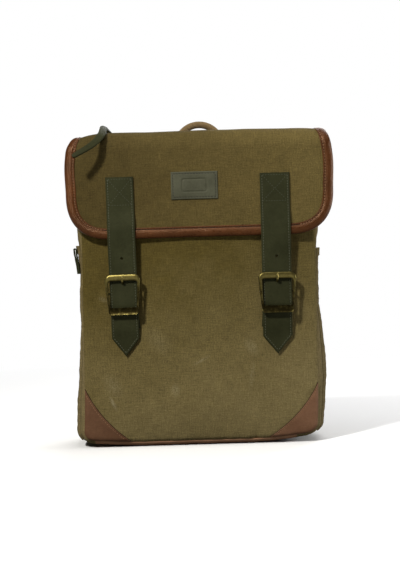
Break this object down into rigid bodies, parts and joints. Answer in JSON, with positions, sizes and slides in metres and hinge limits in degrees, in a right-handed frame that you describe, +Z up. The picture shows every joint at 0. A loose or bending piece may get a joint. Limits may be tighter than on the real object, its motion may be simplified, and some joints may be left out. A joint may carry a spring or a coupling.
{
  "type": "canvas backpack",
  "caption": "Upright canvas backpack with a leather-bound flap, buckled front straps, leather corners and base, top handle and padded shoulder straps.",
  "frame": {"origin": "on the floor, under the middle of the bag's mouth; the bag leans a little, so the base's middle is 10 mm to the left of it", "axes": "+Z up, the front with its buckles faces -Y, +X is the right side seen from the front"},
  "size_m": [0.3438, 0.2117, 0.4285],
  "materials": {
    "canvas": "waxed olive-brown canvas, matt, with light scuffs",
    "brown_leather": "red-brown leather, semi-matt, fine grain",
    "green_leather": "dark olive-green leather, semi-matt, edge stitched",
    "slate_leather": "grey-green leather, semi-matt, stitched round its edge",
    "old_brass": "antique brass, dark with worn bright edges",
    "webbing": "tan-brown woven cotton webbing, matt",
    "zip_tape": "black woven zip tape with a metal coil"
  },
  "bodies": {
    "root": {"front_panel": "canvas", "back_panel": "canvas", "side_panel_left": "canvas", "side_panel_right": "canvas", "side_pocket_left": "canvas", "side_pocket_right": "canvas", "top_strip": "canvas", "flap": "canvas", "shoulder_strap_left": "canvas", "shoulder_strap_right": "canvas", "base_leather": "brown_leather", "corner_patch_left": "brown_leather", "corner_patch_right": "brown_leather", "flap_binding": "brown_leather", "strap_left": "green_leather", "strap_right": "green_leather", "buckle_tab_left": "green_leather", "buckle_tab_right": "green_leather", "zip_pull": "green_leather", "side_loop": "green_leather", "label": "slate_leather", "buckle_left": "old_brass", "buckle_right": "old_brass", "buckle_tongue_left": "old_brass", "buckle_tongue_right": "old_brass", "strap_adjuster_left": "old_brass", "strap_adjuster_right": "old_brass", "zip_ring": "old_brass", "zip_puller": "old_brass", "zip_slider": "old_brass", "handle": "webbing", "strap_webbing_left": "webbing", "strap_webbing_right": "webbing", "zip_tape": "zip_tape"}
  },
  "joints": []
}
